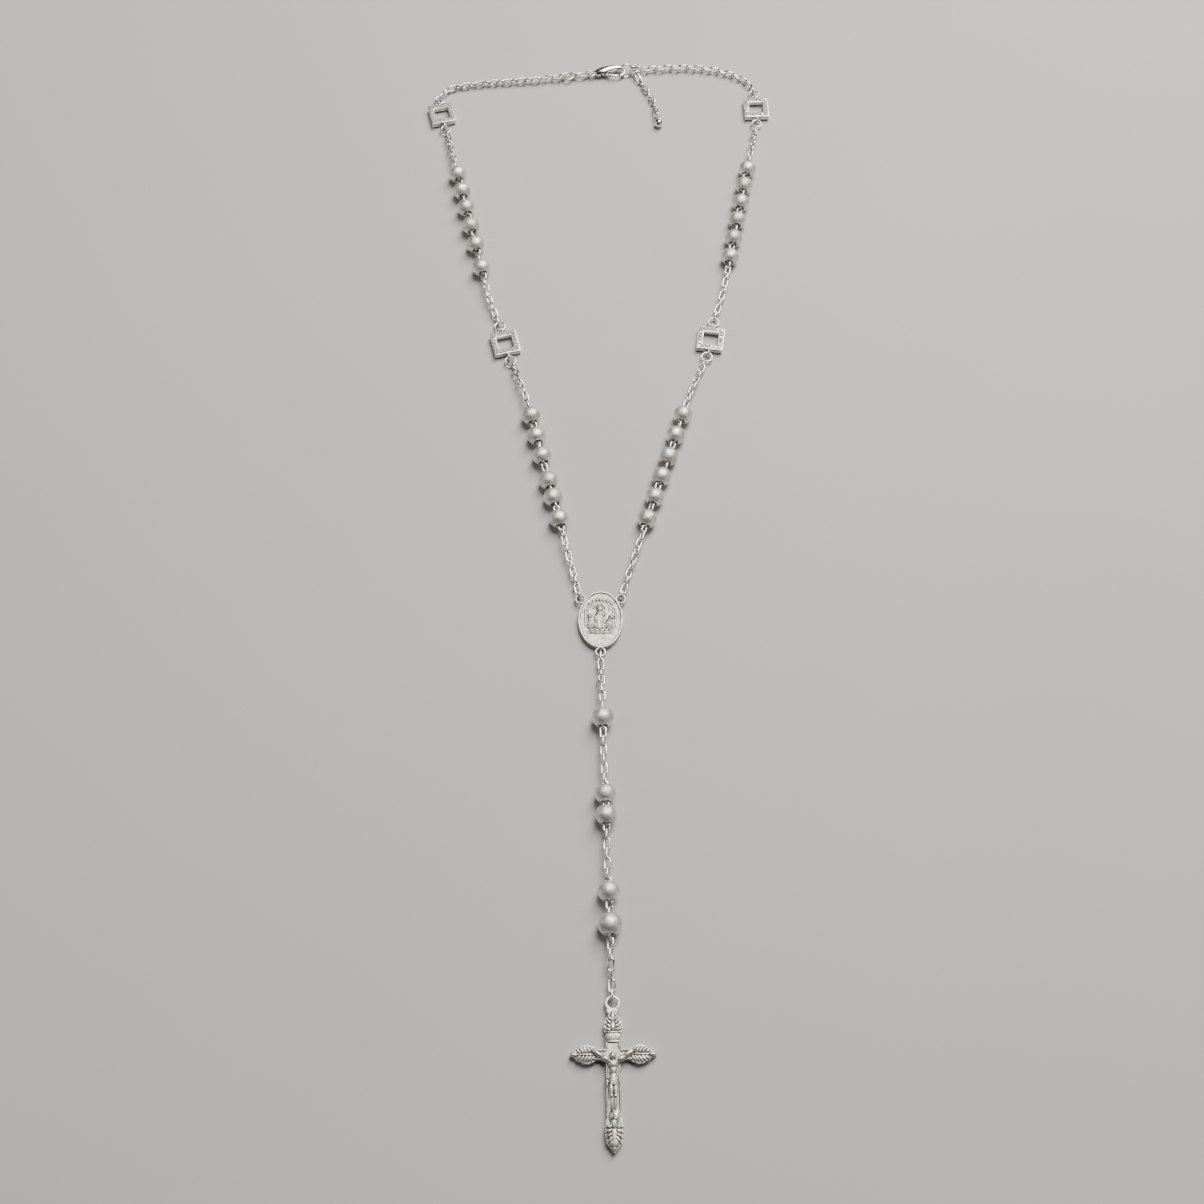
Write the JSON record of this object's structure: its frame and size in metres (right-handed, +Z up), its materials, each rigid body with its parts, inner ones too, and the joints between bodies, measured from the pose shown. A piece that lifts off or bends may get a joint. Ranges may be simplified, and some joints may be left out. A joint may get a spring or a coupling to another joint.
{
  "type": "rosary",
  "caption": "Rosary necklace of bored silver-toned beads on cable chain, with square stone-set stations, oval medal, lobster clasp, extension chain and a leaf-ended crucifix.",
  "frame": {"origin": "middle of the medal's flat back, which rests on z = 0", "axes": "+Y from the medal up the neck loop to the clasp, +Z up from the surface it lies on, +X to the right seen from the front"},
  "size_m": [0.1163, 0.3568, 0.0065],
  "materials": {
    "beads": "satin silver tone, slightly tarnished",
    "chain": "bright silver tone, darker inside the links",
    "stations": "silver tone set with small clear stones",
    "medal": "struck relief with darkened recesses",
    "crucifix": "cast relief with darkened recesses",
    "clasp": "polished, lightly worn"
  },
  "bodies": {
    "medal": {"medal": "medal"},
    "lower_loop": {"lower_left_chain": "chain", "lower_right_chain": "chain"},
    "lower_stations": {"lower_left_station": "stations", "lower_right_station": "stations"},
    "upper_loop": {"upper_left_chain": "chain", "upper_right_chain": "chain"},
    "upper_stations": {"upper_left_station": "stations", "upper_right_station": "stations"},
    "back": {"back_left_chain": "chain", "back_right_chain": "chain", "tail_ring": "chain", "tail_chain": "chain", "hook_ring": "chain", "bail": "chain"},
    "clasp": {"clasp_body": "clasp", "clasp_rivet": "clasp"},
    "lever": {"clasp_lever": "clasp"},
    "extension": {"extension_chain": "chain"},
    "end_ball": {"end_ball": "beads"},
    "drop_link": {"drop_link": "chain"},
    "drop": {"drop_chain": "chain"},
    "crucifix_ring": {"crucifix_ring": "chain"},
    "crucifix": {"cross": "crucifix", "corpus": "crucifix"},
    "lower_left_bead_1": {"lower_left_bead_1": "beads"},
    "lower_left_bead_2": {"lower_left_bead_2": "beads"},
    "lower_left_bead_3": {"lower_left_bead_3": "beads"},
    "lower_left_bead_4": {"lower_left_bead_4": "beads"},
    "lower_left_bead_5": {"lower_left_bead_5": "beads"},
    "lower_left_bead_6": {"lower_left_bead_6": "beads"},
    "lower_right_bead_1": {"lower_right_bead_1": "beads"},
    "lower_right_bead_2": {"lower_right_bead_2": "beads"},
    "lower_right_bead_3": {"lower_right_bead_3": "beads"},
    "lower_right_bead_4": {"lower_right_bead_4": "beads"},
    "lower_right_bead_5": {"lower_right_bead_5": "beads"},
    "lower_right_bead_6": {"lower_right_bead_6": "beads"},
    "upper_left_bead_1": {"upper_left_bead_1": "beads"},
    "upper_left_bead_2": {"upper_left_bead_2": "beads"},
    "upper_left_bead_3": {"upper_left_bead_3": "beads"},
    "upper_left_bead_4": {"upper_left_bead_4": "beads"},
    "upper_left_bead_5": {"upper_left_bead_5": "beads"},
    "upper_left_bead_6": {"upper_left_bead_6": "beads"},
    "upper_right_bead_1": {"upper_right_bead_1": "beads"},
    "upper_right_bead_2": {"upper_right_bead_2": "beads"},
    "upper_right_bead_3": {"upper_right_bead_3": "beads"},
    "upper_right_bead_4": {"upper_right_bead_4": "beads"},
    "upper_right_bead_5": {"upper_right_bead_5": "beads"},
    "upper_right_bead_6": {"upper_right_bead_6": "beads"},
    "drop_bead_1": {"drop_bead_1": "beads"},
    "drop_bead_2": {"drop_bead_2": "beads"},
    "drop_bead_3": {"drop_bead_3": "beads"},
    "drop_bead_4": {"drop_bead_4": "beads"},
    "drop_bead_5": {"drop_bead_5": "beads"}
  },
  "joints": [
    {"name": "lower_loop_fold", "type": "hinge", "parent": "medal", "child": "lower_loop", "pos_m": [0.00003, 0.00773, 0.0015], "axis": [1, -0.0016, 0], "range_deg": [0, 60]},
    {"name": "lower_station_fold", "type": "hinge", "parent": "lower_loop", "child": "lower_stations", "pos_m": [0.00253, 0.0916, 0.00125], "axis": [0.9997, 0.0235, 0], "range_deg": [0, 60]},
    {"name": "upper_loop_fold", "type": "hinge", "parent": "lower_stations", "child": "upper_loop", "pos_m": [0.00201, 0.1016, 0.00125], "axis": [0.9997, 0.0252, 0], "range_deg": [0, 60]},
    {"name": "upper_station_fold", "type": "hinge", "parent": "upper_loop", "child": "upper_stations", "pos_m": [0.00015, 0.18742, 0.00125], "axis": [0.9997, 0.024, 0], "range_deg": [0, 60]},
    {"name": "back_fold", "type": "hinge", "parent": "upper_stations", "child": "back", "pos_m": [-0.00126, 0.19747, 0.00125], "axis": [0.9997, 0.0262, 0], "range_deg": [0, 25]},
    {"name": "clasp_roll", "type": "hinge", "parent": "back", "child": "clasp", "pos_m": [-0.00316, 0.20972, 0.0016], "axis": [0.9945, 0.1044, 0], "range_deg": [-25, 6]},
    {"name": "lever_hinge", "type": "hinge", "parent": "clasp", "child": "lever", "pos_m": [0.00085, 0.20993, 0.0016], "axis": [0, 0, 1], "range_deg": [0, 18], "stiffness_Nm_per_rad": 0.002, "springref_deg": -11.46},
    {"name": "extension_swing", "type": "hinge", "parent": "back", "child": "extension", "pos_m": [0.01168, 0.21091, 0.0016], "axis": [0, 0, 1], "range_deg": [-25, 25]},
    {"name": "end_ball_swing", "type": "hinge", "parent": "extension", "child": "end_ball", "pos_m": [0.01911, 0.19084, 0.00145], "axis": [0, 0, 1], "range_deg": [-15, 15]},
    {"name": "drop_swing", "type": "hinge", "parent": "medal", "child": "drop_link", "pos_m": [0.00004, -0.01139, 0.0015], "axis": [0, 0, 1], "range_deg": [-20, 20]},
    {"name": "drop_fold", "type": "hinge", "parent": "drop_link", "child": "drop", "pos_m": [0.00007, -0.01239, 0.00188], "axis": [-0.9995, -0.0314, 0], "range_deg": [0, 45]},
    {"name": "crucifix_swing", "type": "hinge", "parent": "drop", "child": "crucifix_ring", "pos_m": [0.00297, -0.10466, 0.00188], "axis": [0, 0, 1], "range_deg": [-9, 9]},
    {"name": "crucifix_fold", "type": "hinge", "parent": "crucifix_ring", "child": "crucifix", "pos_m": [0.003, -0.10566, 0.0015], "axis": [-0.9999, -0.0122, 0], "range_deg": [0, 60]},
    {"name": "lower_left_bead_1_slide", "type": "slide", "parent": "lower_loop", "child": "lower_left_bead_1", "axis": [-0.2419, 0.9703, 0], "range_m": [-0.006, 0.006]},
    {"name": "lower_left_bead_2_slide", "type": "slide", "parent": "lower_loop", "child": "lower_left_bead_2", "axis": [-0.2419, 0.9703, 0], "range_m": [-0.006, 0.006]},
    {"name": "lower_left_bead_3_slide", "type": "slide", "parent": "lower_loop", "child": "lower_left_bead_3", "axis": [-0.2419, 0.9703, 0], "range_m": [-0.006, 0.006]},
    {"name": "lower_left_bead_4_slide", "type": "slide", "parent": "lower_loop", "child": "lower_left_bead_4", "axis": [-0.2419, 0.9703, 0], "range_m": [-0.006, 0.006]},
    {"name": "lower_left_bead_5_slide", "type": "slide", "parent": "lower_loop", "child": "lower_left_bead_5", "axis": [-0.2419, 0.9703, 0], "range_m": [-0.006, 0.006]},
    {"name": "lower_left_bead_6_slide", "type": "slide", "parent": "lower_loop", "child": "lower_left_bead_6", "axis": [-0.2419, 0.9703, 0], "range_m": [-0.006, 0.006]},
    {"name": "lower_right_bead_1_slide", "type": "slide", "parent": "lower_loop", "child": "lower_right_bead_1", "axis": [0.2957, 0.9553, 0], "range_m": [-0.006, 0.006]},
    {"name": "lower_right_bead_2_slide", "type": "slide", "parent": "lower_loop", "child": "lower_right_bead_2", "axis": [0.2957, 0.9553, 0], "range_m": [-0.006, 0.006]},
    {"name": "lower_right_bead_3_slide", "type": "slide", "parent": "lower_loop", "child": "lower_right_bead_3", "axis": [0.2957, 0.9553, 0], "range_m": [-0.006, 0.006]},
    {"name": "lower_right_bead_4_slide", "type": "slide", "parent": "lower_loop", "child": "lower_right_bead_4", "axis": [0.2957, 0.9553, 0], "range_m": [-0.006, 0.006]},
    {"name": "lower_right_bead_5_slide", "type": "slide", "parent": "lower_loop", "child": "lower_right_bead_5", "axis": [0.2957, 0.9553, 0], "range_m": [-0.006, 0.006]},
    {"name": "lower_right_bead_6_slide", "type": "slide", "parent": "lower_loop", "child": "lower_right_bead_6", "axis": [0.2957, 0.9553, 0], "range_m": [-0.006, 0.006]},
    {"name": "upper_left_bead_1_slide", "type": "slide", "parent": "upper_loop", "child": "upper_left_bead_1", "axis": [-0.2317, 0.9728, 0], "range_m": [-0.006, 0.006]},
    {"name": "upper_left_bead_2_slide", "type": "slide", "parent": "upper_loop", "child": "upper_left_bead_2", "axis": [-0.2317, 0.9728, 0], "range_m": [-0.006, 0.006]},
    {"name": "upper_left_bead_3_slide", "type": "slide", "parent": "upper_loop", "child": "upper_left_bead_3", "axis": [-0.2317, 0.9728, 0], "range_m": [-0.006, 0.006]},
    {"name": "upper_left_bead_4_slide", "type": "slide", "parent": "upper_loop", "child": "upper_left_bead_4", "axis": [-0.2317, 0.9728, 0], "range_m": [-0.006, 0.006]},
    {"name": "upper_left_bead_5_slide", "type": "slide", "parent": "upper_loop", "child": "upper_left_bead_5", "axis": [-0.2317, 0.9728, 0], "range_m": [-0.006, 0.006]},
    {"name": "upper_left_bead_6_slide", "type": "slide", "parent": "upper_loop", "child": "upper_left_bead_6", "axis": [-0.2317, 0.9728, 0], "range_m": [-0.006, 0.006]},
    {"name": "upper_right_bead_1_slide", "type": "slide", "parent": "upper_loop", "child": "upper_right_bead_1", "axis": [0.1903, 0.9817, 0], "range_m": [-0.006, 0.006]},
    {"name": "upper_right_bead_2_slide", "type": "slide", "parent": "upper_loop", "child": "upper_right_bead_2", "axis": [0.1903, 0.9817, 0], "range_m": [-0.006, 0.006]},
    {"name": "upper_right_bead_3_slide", "type": "slide", "parent": "upper_loop", "child": "upper_right_bead_3", "axis": [0.1903, 0.9817, 0], "range_m": [-0.006, 0.006]},
    {"name": "upper_right_bead_4_slide", "type": "slide", "parent": "upper_loop", "child": "upper_right_bead_4", "axis": [0.1903, 0.9817, 0], "range_m": [-0.006, 0.006]},
    {"name": "upper_right_bead_5_slide", "type": "slide", "parent": "upper_loop", "child": "upper_right_bead_5", "axis": [0.1903, 0.9817, 0], "range_m": [-0.006, 0.006]},
    {"name": "upper_right_bead_6_slide", "type": "slide", "parent": "upper_loop", "child": "upper_right_bead_6", "axis": [0.1903, 0.9817, 0], "range_m": [-0.006, 0.006]},
    {"name": "drop_bead_1_slide", "type": "slide", "parent": "drop", "child": "drop_bead_1", "axis": [0.0314, -0.9995, 0], "range_m": [-0.006, 0.006]},
    {"name": "drop_bead_2_slide", "type": "slide", "parent": "drop", "child": "drop_bead_2", "axis": [0.0314, -0.9995, 0], "range_m": [-0.006, 0.006]},
    {"name": "drop_bead_3_slide", "type": "slide", "parent": "drop", "child": "drop_bead_3", "axis": [0.0314, -0.9995, 0], "range_m": [-0.006, 0.006]},
    {"name": "drop_bead_4_slide", "type": "slide", "parent": "drop", "child": "drop_bead_4", "axis": [0.0314, -0.9995, 0], "range_m": [-0.006, 0.006]},
    {"name": "drop_bead_5_slide", "type": "slide", "parent": "drop", "child": "drop_bead_5", "axis": [0.0314, -0.9995, 0], "range_m": [-0.006, 0.006]}
  ],
  "couplings": [
    {"joint": "lower_left_bead_2_slide", "follows": "lower_left_bead_1_slide", "ratio": 1},
    {"joint": "lower_left_bead_3_slide", "follows": "lower_left_bead_1_slide", "ratio": 1},
    {"joint": "lower_left_bead_4_slide", "follows": "lower_left_bead_1_slide", "ratio": 1},
    {"joint": "lower_left_bead_5_slide", "follows": "lower_left_bead_1_slide", "ratio": 1},
    {"joint": "lower_left_bead_6_slide", "follows": "lower_left_bead_1_slide", "ratio": 1},
    {"joint": "lower_right_bead_2_slide", "follows": "lower_right_bead_1_slide", "ratio": 1},
    {"joint": "lower_right_bead_3_slide", "follows": "lower_right_bead_1_slide", "ratio": 1},
    {"joint": "lower_right_bead_4_slide", "follows": "lower_right_bead_1_slide", "ratio": 1},
    {"joint": "lower_right_bead_5_slide", "follows": "lower_right_bead_1_slide", "ratio": 1},
    {"joint": "lower_right_bead_6_slide", "follows": "lower_right_bead_1_slide", "ratio": 1},
    {"joint": "upper_left_bead_2_slide", "follows": "upper_left_bead_1_slide", "ratio": 1},
    {"joint": "upper_left_bead_3_slide", "follows": "upper_left_bead_1_slide", "ratio": 1},
    {"joint": "upper_left_bead_4_slide", "follows": "upper_left_bead_1_slide", "ratio": 1},
    {"joint": "upper_left_bead_5_slide", "follows": "upper_left_bead_1_slide", "ratio": 1},
    {"joint": "upper_left_bead_6_slide", "follows": "upper_left_bead_1_slide", "ratio": 1},
    {"joint": "upper_right_bead_2_slide", "follows": "upper_right_bead_1_slide", "ratio": 1},
    {"joint": "upper_right_bead_3_slide", "follows": "upper_right_bead_1_slide", "ratio": 1},
    {"joint": "upper_right_bead_4_slide", "follows": "upper_right_bead_1_slide", "ratio": 1},
    {"joint": "upper_right_bead_5_slide", "follows": "upper_right_bead_1_slide", "ratio": 1},
    {"joint": "upper_right_bead_6_slide", "follows": "upper_right_bead_1_slide", "ratio": 1},
    {"joint": "drop_bead_3_slide", "follows": "drop_bead_2_slide", "ratio": 1},
    {"joint": "drop_bead_5_slide", "follows": "drop_bead_4_slide", "ratio": 1}
  ]
}
